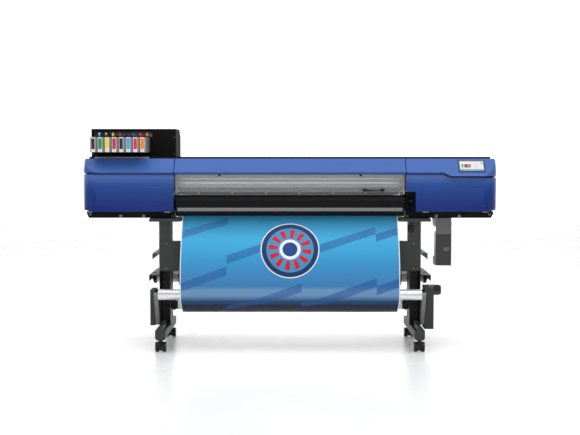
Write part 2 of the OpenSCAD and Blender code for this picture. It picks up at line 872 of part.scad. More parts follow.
module ink_box() {
  color([0.04, 0.04, 0.045]) difference() {
    along_x([rack_x0, rack_x1]) polygon([[rack_y0, rack_z0], [rack_y1, rack_z0], [rack_y1, 1501],
      [270, rack_z1], [rack_y0, rack_z1]]);
    // tray slots
    for (i = [0 : tray_count - 1])
      block([tray_x(i) - tray_w / 2 - 1, tray_x(i) + tray_w / 2 + 1], [rack_y0 - 1, 300],
        [tray_z0 - 1, tray_z1 + 1]);
    // hollow beside and above the slots, open below
    block([tray_x(tray_count - 1) + 30, rack_x1 - 3], [rack_y0 + 3, rack_y1 - 3],
      [rack_z0 - 1, 1498]);
    block([rack_x0 + 3, tray_x(tray_count - 1) + 20], [rack_y0 + 3, rack_y1 - 3],
      [rack_z0 - 1, tray_z0 - 4]);
    block([tray_x(0) + 14, tray_x(tray_count - 1) + 31], [rack_y0 + 3, 268], [1496, rack_z1 - 3]);
  }
}

// Tray with its pouch of ink
module ink_tray(i) {
  x = tray_x(i);
  y0 = rack_y0 - tray_reach;
  color("darkgray") difference() {
    block([x - tray_w / 2, x + tray_w / 2], [y0, tray_back_y], [tray_z0, tray_z1]);
    block([x - tray_w / 2 + 2, x + tray_w / 2 - 2], [y0 + 4, tray_back_y - 4], [tray_z0 + 2, tray_z1 + 1]);
    // finger recess below the label
    block([x - 10, x + 10], [y0 - 1, y0 + 2], [tray_z0 + 4, tray_z0 + 14]);
  }
  color("white") block([x - 12, x + 12], [y0 + 8, tray_back_y - 8], [tray_z0 + 2, tray_z1 - 8]);
}

// ---------- casters ----------

module caster(x, y) {
  c = [y + caster_trail, wheel_r];
  color([0.05, 0.05, 0.05]) difference() {
    union() {
      translate([x, y, 62]) cylinder(r = 15, h = 20);
      translate([x, y, 82]) cylinder(r = 30, h = 8);
      rod(26, [x - 12, x + 12], c);
      intersection() {
        rod(36, [x - 37, x + 37], c, 64);
        block([x - 40, x + 40], [y - 40, y + 70], [42, 75]);
      }
    }
    rod(33, [x - 38, x - 12.5], c, 64);
    rod(33, [x + 12.5, x + 38], c, 64);
    rod(axle_r + run, [x - 13, x + 13], c);
  }
}

module caster_wheels(x, y) {
  c = [y + caster_trail, wheel_r];
  color([0.03, 0.03, 0.03]) {
    rod(axle_r, [x - 14, x + 14], c);
    rod(wheel_r, [x - 37, x - 14], c, 64);
    rod(wheel_r, [x + 14, x + 37], c, 64);
  }
}

feet();
legs();
stay_panel();
chassis_frame();
base_trays();
end_panels();
rear_cover();
roof_cover();
left_top_cover();
center_top_cover();
right_top_cover();
touch_panel();
platen();
rear_guide();
front_apron();
apron_strip();
guide_rail();
ink_box();
roll_arms();
roll_pipes();
roll_holders();
takeup_housings();
takeup_motor();
drain_holder();
drain_bottle();
media_web();
left_front_cover();
right_front_cover();
window_frame();
window_pane();
window_handle();
dancer_arms();
dancer_pipe();
takeup_flanges();
takeup_roll();
supply_flanges();
supply_roll();
carriage();
blade_holder();
grit_roller();
pinch_arms();
pinch_wheels();
loading_lever();
power_switch();
for (i = [0 : tray_count - 1])
  ink_tray(i);
for (c = [["front_left", -caster_x, caster_front_y], ["front_right", caster_x, caster_front_y],
          ["rear_left", -caster_x, caster_rear_y], ["rear_right", caster_x, caster_rear_y]]) {
  caster(c[1], c[2]);
  caster_wheels(c[1], c[2]);
}
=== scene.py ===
"""Looks of the wide-format printer cutter: finishes, small parts, the printed web and the studio.

Everything is in metres, in the CAD model's frame: X along the machine, Y away from the operator,
Z up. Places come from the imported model's boxes. Colours are sRGB values from 0 to 255.
"""
import json
import math

import bmesh
import bpy
from mathutils import Matrix, Vector


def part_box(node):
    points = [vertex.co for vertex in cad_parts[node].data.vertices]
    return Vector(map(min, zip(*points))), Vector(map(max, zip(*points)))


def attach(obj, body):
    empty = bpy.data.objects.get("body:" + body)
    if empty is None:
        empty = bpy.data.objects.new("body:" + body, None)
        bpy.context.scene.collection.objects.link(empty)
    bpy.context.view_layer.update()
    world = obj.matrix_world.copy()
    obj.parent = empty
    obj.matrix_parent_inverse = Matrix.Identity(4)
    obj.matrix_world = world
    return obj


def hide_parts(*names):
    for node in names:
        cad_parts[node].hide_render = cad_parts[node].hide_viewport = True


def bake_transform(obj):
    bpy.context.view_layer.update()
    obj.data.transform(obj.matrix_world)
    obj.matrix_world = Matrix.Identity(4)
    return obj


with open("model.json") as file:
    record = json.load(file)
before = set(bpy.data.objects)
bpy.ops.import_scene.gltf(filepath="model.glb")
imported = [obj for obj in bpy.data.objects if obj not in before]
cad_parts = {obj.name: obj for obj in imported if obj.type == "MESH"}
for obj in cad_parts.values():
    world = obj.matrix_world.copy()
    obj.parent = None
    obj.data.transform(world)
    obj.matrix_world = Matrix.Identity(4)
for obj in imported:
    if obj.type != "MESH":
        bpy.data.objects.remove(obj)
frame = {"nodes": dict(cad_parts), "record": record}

MM = 0.001
X, Y, Z = Vector((1, 0, 0)), Vector((0, 1, 0)), Vector((0, 0, 1))
FRONT = -Y
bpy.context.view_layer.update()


# ---------- camera ----------

SENSOR, LENS = 36.0, 63.56          # mm
EYE = (0.0, -7.392, 1.356)
TILT_DOWN = 3.41                    # degrees
VIEW_LIMIT = 200.0


def make_camera():
    """A long lens in front of the machine's middle, at eye height, looking slightly down."""
    data = bpy.data.cameras.new("camera")
    data.sensor_width = SENSOR
    data.lens = LENS
    data.clip_end = VIEW_LIMIT
    camera = bpy.data.objects.new("camera", data)
    camera.location = EYE
    camera.rotation_euler = (math.radians(90.0 - TILT_DOWN), 0.0, 0.0)
    bpy.context.scene.collection.objects.link(camera)
    bpy.context.scene.camera = camera


make_camera()


# ---------- materials ----------

def linear(rgb):
    """sRGB values as the linear values that a shader takes."""
    out = []
    for c in rgb:
        c /= 255.0
        out.append(c / 12.92 if c <= 0.04045 else ((c + 0.055) / 1.055) ** 2.4)
    return tuple(out) + (1.0,)


class Graph:
    """Short names for building a material's node tree."""

    def __init__(self, name):
        self.material = bpy.data.materials.new(name)
        self.material.use_nodes = True
        self.tree = self.material.node_tree
        self.shader = self.tree.nodes["Principled BSDF"]

    def node(self, kind, **settings):
        made = self.tree.nodes.new(kind)
        for key, value in settings.items():
            setattr(made, key, value)
        return made

    def link(self, source, target):
        self.tree.links.new(source, target)

    def set(self, **values):
        """Sets the shader's own inputs; an underscore stands for a space in an input's name."""
        for key, value in values.items():
            self.shader.inputs[key.replace("_", " ")].default_value = value

    def coordinates(self, stretch=(1, 1, 1)):
        place = self.node("ShaderNodeTexCoord")
        mapping = self.node("ShaderNodeMapping")
        mapping.inputs["Scale"].default_value = stretch
        self.link(place.outputs["Object"], mapping.inputs["Vector"])
        return mapping.outputs["Vector"]

    def split(self, vector):
        made = self.node("ShaderNodeSeparateXYZ")
        self.link(vector, made.inputs["Vector"])
        return made.outputs

    def noise(self, vector, scale, detail=3.0):
        made = self.node("ShaderNodeTexNoise")
        made.inputs["Scale"].default_value = scale
        made.inputs["Detail"].default_value = detail
        made.inputs["Roughness"].default_value = 0.55
        self.link(vector, made.inputs["Vector"])
        return made.outputs["Fac"]

    def fit(self, value, low, high, from_low=0.3, from_high=0.7):
        """Maps a value to another range; the default input range is that of a noise."""
        made = self.node("ShaderNodeMapRange")
        for key, number in (("From Min", from_low), ("From Max", from_high),
                            ("To Min", low), ("To Max", high)):
            made.inputs[key].default_value = number
        self.link(value, made.inputs["Value"])
        return made.outputs["Result"]

    def math(self, operation, a, b=None, c=None):
        made = self.node("ShaderNodeMath", operation=operation)
        for socket, value in zip(made.inputs, (a, b, c)):
            if value is None:
                continue
            if isinstance(value, (int, float)):
                socket.default_value = value
            else:
                self.link(value, socket)
        return made.outputs[0]

    def mix(self, factor, a, b):
        made = self.node("ShaderNodeMix", data_type="RGBA")
        for socket, value in ((made.inputs[0], factor), (made.inputs[6], a), (made.inputs[7], b)):
            if isinstance(value, (int, float, tuple)):
                socket.default_value = value
            else:
                self.link(value, socket)
        return made.outputs[2]

    def ramp(self, value, stops):
        """Colours along a value, from (place, sRGB) stops."""
        made = self.node("ShaderNodeValToRGB")
        elements = made.color_ramp.elements
        while len(elements) < len(stops):
            elements.new(0.5)
        for element, (place, rgb) in zip(elements, stops):
            element.position = place
            element.color = linear(rgb)
        self.link(value, made.inputs["Fac"])
        return made.outputs["Color"]

    def bump(self, height, depth):
        """Relief from a height; depth is in millimetres."""
        made = self.node("ShaderNodeBump")
        made.inputs["Distance"].default_value = depth * MM
        self.link(height, made.inputs["Height"])
        self.link(made.outputs["Normal"], self.shader.inputs["Normal"])


def finish(name, rgb, rough, metal=0.0, grain=900.0, depth=0.05, spread=0.06, mottle=0.08,
           stretch=(1, 1, 1), coat=0.0, specular=0.5):
    """A finish with fine grain in its relief, and slow variation in colour and roughness.

    depth is the grain's height in millimetres, spread the variation of roughness, mottle that
    of brightness.
    """
    g = Graph(name)
    colour = linear(rgb)
    where = g.coordinates(stretch)
    fine = g.noise(where, grain, 2.0)
    slow = g.noise(where, 2.3, 4.0)
    darker = tuple(c * (1.0 - mottle) for c in colour[:3]) + (1.0,)
    lighter = tuple(min(1.0, c * (1.0 + mottle)) for c in colour[:3]) + (1.0,)
    g.link(g.mix(g.fit(slow, 0.0, 1.0), darker, lighter), g.shader.inputs["Base Color"])
    g.link(g.fit(fine, rough - spread, rough + spread), g.shader.inputs["Roughness"])
    g.bump(fine, depth)
    g.set(Metallic=metal, Specular_IOR_Level=specular, Coat_Weight=coat, Coat_Roughness=0.08)
    return g.material


# The blue covers' heights, and their tones from the lowest to the highest: painted shade that
# darkens the covers towards the bottom, and a painted highlight near the top.
COVER_HEIGHTS = (0.965, 1.26)
COVER_SHADE_TONES = [(0.10, (0, 31, 112)), (0.31, (0, 45, 121)), (0.49, (12, 56, 130)),
               (0.67, (39, 75, 146)), (0.85, (78, 106, 174)), (0.92, (56, 94, 167))]


def blue_lacquer():
    """Blue covers: flaked lacquer with painted shade, darker towards the bottom edge and lighter
    near the top, with orange-peel relief.
    """
    g = Graph("blue_lacquer")
    where = g.coordinates()
    flake = g.noise(where, 2600.0, 1.0)
    peel = g.noise(where, 160.0, 2.0)
    # painted shade and highlight: the blue's tone follows the height
    painted_shade_tones = g.ramp(g.fit(g.split(where)["Z"], 0.0, 1.0, *COVER_HEIGHTS), COVER_SHADE_TONES)
    pale = g.mix(0.04, painted_shade_tones, linear((120, 170, 230)))
    g.link(g.mix(g.fit(flake, 0.0, 1.0, 0.35, 0.65), painted_shade_tones, pale), g.shader.inputs["Base Color"])
    g.link(g.fit(peel, 0.34, 0.42), g.shader.inputs["Roughness"])
    g.bump(peel, 0.02)
    g.set(Specular_IOR_Level=0.18, Coat_Weight=0.08, Coat_Roughness=0.12)
    return g.material


def clear_sheet():
    """Clear plastic sheet, seen through more than it shines."""
    g = Graph("clear_sheet")
    smear = g.noise(g.coordinates((1, 1, 3)), 9.0, 4.0)
    g.link(g.fit(smear, 0.03, 0.08), g.shader.inputs["Roughness"])
    g.set(Base_Color=linear((225, 232, 236)), Alpha=0.16, Specular_IOR_Level=0.8)
    return g.material


def rail_metal():
    """Brushed aluminium extrusion with long strokes along X."""
    g = Graph("rail_metal")
    strokes = g.noise(g.coordinates((0.6, 60, 60)), 22.0, 3.0)
    g.link(g.mix(g.fit(strokes, 0.0, 1.0), linear((192, 192, 193)), linear((214, 215, 216))),
           g.shader.inputs["Base Color"])
    g.link(g.fit(strokes, 0.24, 0.36), g.shader.inputs["Roughness"])
    g.bump(strokes, 0.03)
    g.set(Metallic=0.3)
    return g.material


def wound_roll():
    """White media on its roll: the side faces show the turns as fine rings."""
    g = Graph("wound_roll")
    turns = g.noise(g.coordinates((0.02, 1, 1)), 700.0, 1.0)
    g.link(g.mix(g.fit(turns, 0.0, 1.0), linear((214, 214, 210)), linear((240, 240, 238))),
           g.shader.inputs["Base Color"])
    g.bump(turns, 0.1)
    g.set(Roughness=0.45)
    return g.material


def glow(name, rgb, strength):
    """A lit area of a display."""
    g = Graph(name)
    flicker = g.noise(g.coordinates(), 300.0, 1.0)
    colour = linear(rgb)
    dim = tuple(c * 0.94 for c in colour[:3]) + (1.0,)
    mixed = g.mix(g.fit(flicker, 0.0, 1.0), dim, colour)
    g.link(mixed, g.shader.inputs["Base Color"])
    g.link(mixed, g.shader.inputs["Emission Color"])
    g.set(Emission_Strength=strength, Roughness=0.25)
    return g.material


BRIGHT_TUBE = dict(depth=0.01, stretch=(0.2, 6, 6), spread=0.04)
DRAWN_STRIP = dict(stretch=(0.3, 8, 8))
MAT = {
    "blue": blue_lacquer(),
    "stand": finish("stand_paint", (52, 54, 54), 0.5, grain=1400.0, depth=0.08, specular=0.35),
    "black_paint": finish("black_paint", (12, 12, 13), 0.46, grain=1200.0, depth=0.04,
                          specular=0.12),
    "black_plastic": finish("black_moulding", (15, 15, 16), 0.48, grain=1100.0, depth=0.07,
                            specular=0.2),
    "deep_black": finish("deep_black", (10, 10, 11), 0.55),
    "strip": finish("grey_strip", (118, 118, 118), 0.36, metal=0.3, **DRAWN_STRIP),
    "frame_grey": finish("frame_grey", (150, 150, 150), 0.36, metal=0.35, **DRAWN_STRIP),
    "arm": finish("arm_metal", (120, 120, 120), 0.36, metal=0.5, stretch=(6, 6, 0.4)),
    "pipe": finish("pipe_metal", (236, 237, 238), 0.24, metal=0.5, grain=500.0, **BRIGHT_TUBE),
    "tube": finish("satin_tube", (236, 237, 238), 0.42, metal=0.15, grain=500.0, **BRIGHT_TUBE),
    "shine": finish("rail_shine", (240, 241, 242), 0.24, metal=0.35, grain=600.0, **BRIGHT_TUBE),
    "rack": finish("rack_paint", (20, 20, 21), 0.66, grain=1100.0, depth=0.06, specular=0.06),
    # painted shade: the dark blue of the shaded seams between the covers
    "navy": finish("seam_painted_shade", (14, 24, 60), 0.34, depth=0.03),
    "steel": finish("bright_steel", (176, 176, 174), 0.26, metal=0.95, grain=700.0, depth=0.02),
    "rail": rail_metal(),
    "clear": clear_sheet(),
    "holder": finish("holder_paint", (98, 98, 98), 0.45, grain=1300.0, depth=0.06),
    "holder_dark": finish("holder_dark", (46, 46, 46), 0.5, grain=1300.0, depth=0.06),
    "bottle": finish("milky_bottle", (226, 228, 220), 0.4, grain=200.0, depth=0.08),
    "roll": wound_roll(),
    "motor": finish("motor_enamel", (20, 20, 21), 0.3, grain=600.0),
    "rubber": finish("tread_rubber", (16, 16, 16), 0.62, grain=700.0, depth=0.08),
    "tray": finish("tray_moulding", (126, 127, 128), 0.5, grain=1000.0, depth=0.06),
    "caster": finish("caster_moulding", (17, 17, 18), 0.34, depth=0.06),
    "label": finish("label_white", (236, 236, 236), 0.5, grain=500.0, depth=0.01, mottle=0.02),
    "bezel": finish("bezel_gloss", (8, 8, 9), 0.16, grain=300.0, depth=0.005, coat=0.5),
    "light_grey": finish("light_grey", (196, 197, 198), 0.42, grain=1000.0, depth=0.04),
    "zinc": finish("zinc_plate", (150, 150, 146), 0.34, metal=0.9, grain=260.0, depth=0.02,
                   mottle=0.2),
    "film": finish("film_grey", (84, 84, 86), 0.4, grain=400.0, depth=0.01),
    "media_back": finish("media_back", (232, 232, 230), 0.6, grain=700.0, depth=0.02,
                         mottle=0.02),
    "screen": glow("screen_white", (206, 209, 213), 0.1),
    "lit_button": glow("lit_button", (60, 150, 200), 0.05),
    "lit_line": glow("lit_line", (170, 178, 186), 0.1),
}
INKS = {
    "black": (26, 26, 28), "green": (10, 140, 62), "yellow": (238, 218, 20),
    "magenta": (200, 18, 82), "light_blue": (58, 160, 222), "red": (228, 30, 56),
    "orange": (240, 128, 16), "blue": (34, 96, 190),
}
for ink, rgb in INKS.items():
    MAT["ink_" + ink] = finish("ink_" + ink, rgb, 0.42, grain=500.0, depth=0.01, mottle=0.05)

# The inks from left to right: on the trays, on the lamps over them, and on the display.
TRAY_COLOURS = ["black", "green", "yellow", "magenta", "black", "light_blue", "red", "orange"]
LIGHT_COLOURS = ["light_blue", "green", "yellow", "magenta", "black", "blue", "red", "orange"]
LEVELS = ["green", "yellow", "magenta", "black", "light_blue", "red", "orange"]
for ink in LEVELS:
    MAT["lit_" + ink] = glow("lit_" + ink, tuple(0.85 * c for c in INKS[ink]), 0.05)

SLOT_FINISH = {
    "stand_grey": "stand", "black_metal": "black_paint", "black_plastic": "black_plastic",
    "blue_cover": "blue", "panel_black": "bezel", "bare_aluminium": "pipe",
    "guide_steel": "steel", "strip_grey": "frame_grey", "clear_pane": "clear",
    "holder_grey": "holder", "bottle_white": "bottle", "media": "roll", "motor_black": "motor",
    "pinch_rubber": "rubber", "tray_grey": "tray", "caster_black": "caster",
    "tread_black": "rubber",
}
NODE_FINISH = {
    "guide_rail": "rail", "apron_strip": "strip", "dancer_arms": "arm", "roll_pipes": "tube",
    "ink_box": "rack",
}
SHARP_NODES = ("window_pane", "media_web")

WELD_GAP = 0.02 * MM
FLAT_ANGLE = math.radians(0.8)
EDGE_WIDTH, EDGE_ANGLE = 0.9 * MM, math.radians(40.0)


def dress_node(name, slot):
    """Gives a CAD node its finish and softens its edges, leaving its mesh as it is."""
    node = frame["nodes"][name]
    node.data.materials.clear()
    node.data.materials.append(MAT[NODE_FINISH.get(name, SLOT_FINISH[slot])])
    if name in SHARP_NODES:
        return
    weld = node.modifiers.new("weld", "WELD")
    weld.merge_threshold = WELD_GAP
    flat = node.modifiers.new("flat", "DECIMATE")
    flat.decimate_type = "DISSOLVE"
    flat.angle_limit = FLAT_ANGLE
    edges = node.modifiers.new("edges", "BEVEL")
    edges.width = EDGE_WIDTH
    edges.segments = 2
    edges.limit_method = "ANGLE"
    edges.angle_limit = EDGE_ANGLE
    edges.harden_normals = True
    edges.use_clamp_overlap = True


for part in frame["record"]["subparts"]:
    dress_node(part["node"], part["material_slot"])


# ---------- mesh pieces ----------

def to_object(name, bm, materials, crease):
    """Turns a bmesh into an object in the scene, smooth up to the crease angle in degrees."""
    bmesh.ops.recalc_face_normals(bm, faces=bm.faces)
    mesh = bpy.data.meshes.new(name)
    bm.to_mesh(mesh)
    bm.free()
    for key in materials:
        mesh.materials.append(MAT[key])
    mesh.shade_smooth()
    mesh.set_sharp_from_angle(angle=math.radians(crease))
    obj = bpy.data.objects.new(name, mesh)
    bpy.context.scene.collection.objects.link(obj)
    return obj


def piece(name, bm, materials, body, crease=35.0):
    """Turns a bmesh into a piece that rides on a CAD body."""
    obj = to_object(name, bm, [materials] if isinstance(materials, str) else materials, crease)
    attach(obj, body)


def add_block(bm, low, high, bevel=0.6 * MM, material=0):
    """A block between two corners, with rounded edges."""
    low, high = Vector(low), Vector(high)
    size = high - low
    verts = bmesh.ops.create_cube(bm, size=1.0)["verts"]
    for v in verts:
        v.co = Vector(low[i] + (v.co[i] + 0.5) * size[i] for i in range(3))
    faces = set(f for v in verts for f in v.link_faces)
    edges = list(dict.fromkeys(e for v in verts for e in v.link_edges))
    faces |= set(bmesh.ops.bevel(bm, geom=edges, offset=min(bevel, 0.45 * min(size)), segments=2,
                                 profile=0.5, affect="EDGES", clamp_overlap=True)["faces"])
    for f in faces:
        if f.is_valid:
            f.material_index = material


def join_rings(bm, rings, material=0):
    """Faces between rings of equally many vertices, and one face across each end."""
    count = len(rings[0])
    for a, b in zip(rings, rings[1:]):
        for i in range(count):
            j = (i + 1) % count
            bm.faces.new((a[i], a[j], b[j], b[i])).material_index = material
    for ring in (rings[0], rings[-1]):
        bm.faces.new(ring).material_index = material


def add_turned(bm, profile, origin, axis, material=0, steps=32):
    """A turned solid: profile is (distance along the axis, radius) pairs in mm, end to end."""
    turn = Vector((0, 0, 1)).rotation_difference(Vector(axis)).to_matrix().to_4x4()
    place = Matrix.Translation(origin) @ turn
    angles = [2.0 * math.pi * i / steps for i in range(steps)]
    join_rings(bm, [[bm.verts.new(place @ Vector((radius * MM * math.cos(angle),
                                                  radius * MM * math.sin(angle), along * MM)))
                     for angle in angles] for along, radius in profile], material)


def add_screw(bm, at, axis, radius=3.2, material=0):
    """A pan-head screw with a socket, standing on a face; radius is in mm."""
    head = 0.55 * radius
    add_turned(bm, [(-0.2, radius), (0.35 * head, radius), (0.8 * head, 0.86 * radius),
                    (head, 0.66 * radius), (head, 0.44 * radius), (0.45 * head, 0.4 * radius)],
               at, axis, material, steps=18)


PLATE_SINK = 0.4 * MM
CORNER_STEPS = 5


def add_plate(bm, at, right, up, size, lift, corner=0.0, material=0):
    """A thin plate with round corners on a face, standing lift proud of it. Sizes are in mm."""
    at, out = Vector(at), right.cross(up)
    w, h = size[0] * MM / 2.0, size[1] * MM / 2.0
    lift, corner = lift * MM, min(corner * MM, w, h)
    outline = []
    for quarter, (sx, sy) in enumerate(((1, 1), (-1, 1), (-1, -1), (1, -1))):
        for i in range(CORNER_STEPS + 1 if corner > 0 else 1):
            angle = math.radians(90.0 * quarter + 90.0 * i / CORNER_STEPS)
            outline.append((sx * (w - corner) + corner * math.cos(angle),
                            sy * (h - corner) + corner * math.sin(angle)))
    soft = min(0.3 * MM, 0.4 * lift)
    rings = []
    for inset, height in ((0.0, -PLATE_SINK), (0.0, lift - soft), (soft, lift)):
        rings.append([bm.verts.new(at + right * x * (1.0 - inset / w) + up * y * (1.0 - inset / h)
                                   + out * height) for x, y in outline])
    join_rings(bm, rings, material)


def add_tag(bm, at, size, lift, corner=0.0, material=0):
    """A thin upright plate that faces the operator."""
    add_plate(bm, at, X, Z, size, lift, corner, material)


def middle(node):
    low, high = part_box(node)
    return (low + high) / 2.0


# ---------- ink trays ----------

LABEL_LIFT = 0.9                    # mm


def make_tray_labels():
    """On each tray: a white label with a band of the ink's colour, a face plate and two ribs."""
    for i, colour in enumerate(TRAY_COLOURS, 1):
        low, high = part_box("ink_tray_%d" % i)
        face = Vector(((low.x + high.x) / 2.0, low.y, (low.z + high.z) / 2.0))
        ink = face + FRONT * LABEL_LIFT * MM
        bm = bmesh.new()
        add_tag(bm, face, (28, 101), LABEL_LIFT, 3, 0)
        add_tag(bm, ink + Z * 6 * MM, (24, 74), 0.3, 1, 1)
        add_tag(bm, ink - Z * 41 * MM, (6, 4), 0.2, 1, 2)
        for row in range(3):
            add_tag(bm, ink + Z * (45.2 - 1.8 * row) * MM, (14, 0.7), 0.1, 0, 2)
        piece("tray_label_%d" % i, bm, ["label", "ink_" + colour, "deep_black"], "tray_%d" % i)
        bm = bmesh.new()
        add_block(bm, (low.x - 4 * MM, low.y - 0.6 * MM, low.z + 1 * MM),
                  (high.x + 9 * MM, low.y + 2 * MM, high.z - 0.5 * MM), 0.5 * MM)
        for z in (high.z - 26 * MM, low.z + 20 * MM):
            add_block(bm, (high.x - 0.2 * MM, low.y + 12 * MM, z),
                      (high.x + 1.6 * MM, low.y + 235 * MM, z + 6 * MM), 0.5 * MM)
        piece("tray_rib_%d" % i, bm, "tray", "tray_%d" % i)


def make_tray_lights():
    """A small lamp over each tray, in a dark window strip on the rack's face."""
    low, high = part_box("ink_box")
    first, last = middle("ink_tray_1").x, middle("ink_tray_8").x
    y, z = low.y - 1.2 * MM, high.z - 41 * MM
    bm = bmesh.new()
    add_block(bm, (first - 34 * MM, y, z - 17 * MM), (last + 36 * MM, low.y + 1 * MM, z + 17 * MM),
              0.8 * MM)
    piece("lamp_strip", bm, "bezel", "machine")
    for i, colour in enumerate(LIGHT_COLOURS):
        at = Vector((first + (last - first) * i / 7.0 - 2 * MM, y, z))
        bm = bmesh.new()
        add_tag(bm, at, (16, 25), 0.5, 2, 0)
        add_tag(bm, at + Z * 7.2 * MM + FRONT * 0.5 * MM, (13, 8), 0.2, 1.5, 1 if i < 2 else 0)
        piece("lamp_%d" % (i + 1), bm, ["ink_" + colour, "label"], "machine")


# ---------- covers and touch panel ----------

PANEL_LEAN = math.atan2(96.0, 75.0)     # the top covers rise 96 mm in 75 mm of depth
SCREEN_SIZE = (166, 86)                 # mm
SCREEN_INSET, SCREEN_LIFT = 1.6, 0.5    # mm below the panel's rim, and thickness


def make_display():
    """Touch display: pale screen, a block of ink levels, plain lines and a row of buttons."""
    up = Vector((0, math.cos(PANEL_LEAN), math.sin(PANEL_LEAN)))
    out = X.cross(up)
    points = [v.co for v in frame["nodes"]["touch_panel"].data.vertices]
    heights = [p.dot(up) for p in points]
    centre = X * middle("touch_panel").x + up * (max(heights) + min(heights)) / 2.0
    centre += out * (max(p.dot(out) for p in points) - SCREEN_INSET * MM)
    bm = bmesh.new()
    add_plate(bm, centre, X, up, SCREEN_SIZE, SCREEN_LIFT, 1, 0)
    corner = centre + out * SCREEN_LIFT * MM - (X * SCREEN_SIZE[0] + up * SCREEN_SIZE[1]) * MM / 2
    button, line = len(LEVELS) + 1, len(LEVELS) + 2

    def mark(x, y, w, h, material, round_off=0.0):
        """A printed area; x and y run from the screen's lower left corner, in mm."""
        add_plate(bm, corner + (X * x + up * y) * MM, X, up, (w, h), 0.2, round_off, material)

    for i in range(len(LEVELS)):
        mark(17 + 9.6 * i, 43, 9.6, 30, 1 + i)
    mark(83, 7.5, 166, 15, button)
    for i in range(9):
        mark(12 + 17.8 * i, 7.5, 9, 8, 0, 2)
    mark(83, 83, 166, 6, line)
    mark(152, 66, 16, 9, button, 2)
    for i in range(5):
        mark(112 + 2 * (i % 2), 64 - 8.5 * i, 46 - 9 * (i % 2), 2.2, line)
    piece("display_screen", bm, ["screen"] + ["lit_" + c for c in LEVELS] +
          ["lit_button", "lit_line"], "machine")


def make_latch_tabs():
    """Zinc latch tabs under the bottom edges of the front covers."""
    for side, places in (("left", (0.085, 0.93)), ("right", (0.21, 0.86))):
        low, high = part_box(side + "_front_cover")
        bm = bmesh.new()
        for share in places:
            x = low.x + (high.x - low.x) * share
            y, top = low.y + 9 * MM, low.z + 0.4 * MM
            add_block(bm, (x - 21 * MM, y, low.z - 1.4 * MM), (x + 21 * MM, y + 17 * MM, top),
                      0.5 * MM)
            add_block(bm, (x - 21 * MM, y, low.z - 5 * MM), (x + 21 * MM, y + 1.4 * MM, top),
                      0.5 * MM)
        piece("latch_tabs_" + side, bm, "zinc", side + "_cover")


# ---------- window ----------

SCALE_PITCH = 237 * MM
BLUE_MARKS = (0.066, 0.168, 0.28, 0.437, 0.572, 0.706, 0.854, 0.897, 0.934)


def make_window_scale():
    """Grey scale along the window's lower bar: light marks at a regular pitch, small blue ones."""
    low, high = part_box("window_frame")
    width = high.x - low.x
    z = low.z + 10 * MM
    bm = bmesh.new()
    add_tag(bm, ((low.x + high.x) / 2, low.y, z), (width / MM - 24, 14), 0.25, 1, 0)
    y = low.y - 0.25 * MM
    x = low.x + 166 * MM
    while x < high.x - 20 * MM:
        add_tag(bm, (x, y, z), (4, 13), 0.15, 0, 1)
        x += SCALE_PITCH
    for share in BLUE_MARKS:
        add_tag(bm, (low.x + share * width, y, z + 1 * MM), (24, 4), 0.15, 0.5, 2)
    piece("window_scale", bm, ["film", "label", "ink_blue"], "window")


# ---------- media ----------

def arc(centre, radius, start, end, count):
    """Points on an arc, from and to an angle in degrees."""
    angles = [math.radians(start + (end - start) * i / count) for i in range(count + 1)]
    return [(centre[0] + radius * math.cos(a), centre[1] + radius * math.sin(a)) for a in angles]


WEB_HALF = 0.762                    # half of the standard 60 inch width
WEB_THICK = 0.35 * MM
WEB_COLUMNS = 48
WEB_RIPPLE = 1.2 * MM
SPAN_STEPS = 6
BED = 1.0771                        # height of the web over the platen
FRONT_BEND = 0.028                  # radius at the platen's front edge

# The web's route as (y, z) points, as in the CAD model: over the platen, down to the dancer
# roller, and under it to the take-up roll. Each length starts where the one before ends.
ROUTE = {
    "rear": [(0.2816, 0.590), (0.300, 0.790)] + arc((0.238, 0.9971), 0.080, -6, 90, 10)
    + [(0.10, BED)] + arc((-0.050, BED - FRONT_BEND), FRONT_BEND, 90, 150, 6)
    + [(-0.113, 0.996)],
    "hang": [(-0.113, 0.996), (-0.152, 0.928), (-0.196, 0.873), (-0.240, 0.812),
             (-0.284, 0.741), (-0.318, 0.667), (-0.339, 0.592), (-0.349, 0.520),
             (-0.3512, 0.455), (-0.3514, 0.398)],
    "under": [(-0.3514, 0.398), (-0.3495, 0.374), (-0.338, 0.351), (-0.312, 0.331),
              (-0.270, 0.301), (-0.220, 0.273), (-0.180, 0.257), (-0.152, 0.2505),
              (-0.125, 0.2497)],
}


def spline(points, per_span):
    """Points on a smooth curve through the given (y, z) points."""
    out = []
    count = len(points)
    for i in range(count - 1):
        p = [Vector(points[min(max(i + k, 0), count - 1)]) for k in (-1, 0, 1, 2)]
        for s in range(per_span):
            t = s / per_span
            out.append(0.5 * ((2 * p[1]) + (p[2] - p[0]) * t
                              + (2 * p[0] - 5 * p[1] + 4 * p[2] - p[3]) * t * t
                              + (3 * p[1] - p[0] - 3 * p[2] + p[3]) * t ** 3))
    out.append(Vector(points[-1]))
    return out


def length_of(path):
    return sum((b - a).length for a, b in zip(path, path[1:]))


